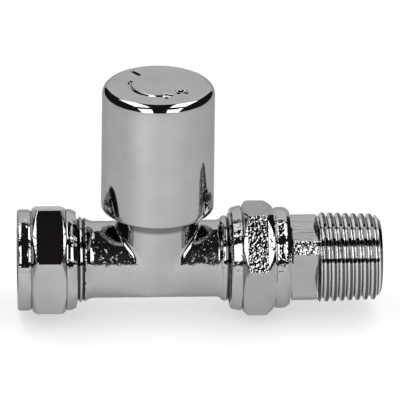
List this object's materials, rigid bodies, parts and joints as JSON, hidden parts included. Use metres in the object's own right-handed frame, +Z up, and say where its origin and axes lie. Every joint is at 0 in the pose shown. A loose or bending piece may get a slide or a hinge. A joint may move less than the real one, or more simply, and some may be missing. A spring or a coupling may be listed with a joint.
{
  "type": "manual radiator valve",
  "caption": "Chrome-plated straight manual radiator valve with a pipe compression inlet, a round lift-and-turn cap on a rising spindle, and a union nut holding a threaded tail.",
  "frame": {"origin": "centre of the pipe stop at the inner end of the inlet socket, on the waterway's axis", "axes": "+X along the waterway from the pipe towards the radiator, +Z up the spindle to the cap, +Y away from the side that the picture shows"},
  "size_m": [0.0839, 0.0272, 0.0574],
  "materials": {
    "chrome_plate": "polished",
    "brass": "satin",
    "rubber": "matte",
    "fibre": "matte",
    "ptfe": "matte",
    "nylon": "satin",
    "zinc_steel": "satin"
  },
  "bodies": {
    "valve": {"valve_body": "chrome_plate", "bonnet": "brass", "bonnet_washer": "fibre", "spindle_o_ring": "rubber", "gland_packing": "ptfe", "gland_follower": "brass", "gland_nut": "brass"},
    "jumper_assembly": {"jumper": "brass", "seat_washer": "rubber", "washer_screw": "brass"},
    "handwheel": {"spindle": "brass", "handle_carrier": "nylon", "screw_washer": "zinc_steel", "carrier_screw": "zinc_steel", "cap_shell": "chrome_plate"},
    "tail_assembly": {"tail": "chrome_plate", "union_seal": "rubber"},
    "union_swivel": {"union_nut": "chrome_plate"},
    "pipe_olive": {"olive": "brass"},
    "pipe_nut": {"compression_nut": "chrome_plate"}
  },
  "joints": [
    {"name": "jumper_lift", "type": "slide", "parent": "valve", "child": "jumper_assembly", "axis": [0, 0, 1], "range_m": [0, 0.00375]},
    {"name": "handwheel_turn", "type": "hinge", "parent": "jumper_assembly", "child": "handwheel", "pos_m": [0.014, 0, 0.02], "axis": [0, 0, 1], "range_deg": [0, 900]},
    {"name": "tail_slide", "type": "slide", "parent": "valve", "child": "tail_assembly", "axis": [1, 0, 0], "range_m": [0, 0.00544]},
    {"name": "union_nut_turn", "type": "hinge", "parent": "tail_assembly", "child": "union_swivel", "pos_m": [0.037, 0, 0], "axis": [1, 0, 0], "range_deg": [0, 1080]},
    {"name": "olive_slide", "type": "slide", "parent": "valve", "child": "pipe_olive", "axis": [-1, 0, 0], "range_m": [0, 0.00544]},
    {"name": "compression_nut_turn", "type": "hinge", "parent": "pipe_olive", "child": "pipe_nut", "pos_m": [-0.0117, 0, 0], "axis": [-1, 0, 0], "range_deg": [0, 1080]}
  ],
  "couplings": [
    {"joint": "handwheel_turn", "follows": "jumper_lift", "rad_per_m": 4188.8},
    {"joint": "union_nut_turn", "follows": "tail_slide", "rad_per_m": 3463.7},
    {"joint": "compression_nut_turn", "follows": "olive_slide", "rad_per_m": 3463.7}
  ]
}
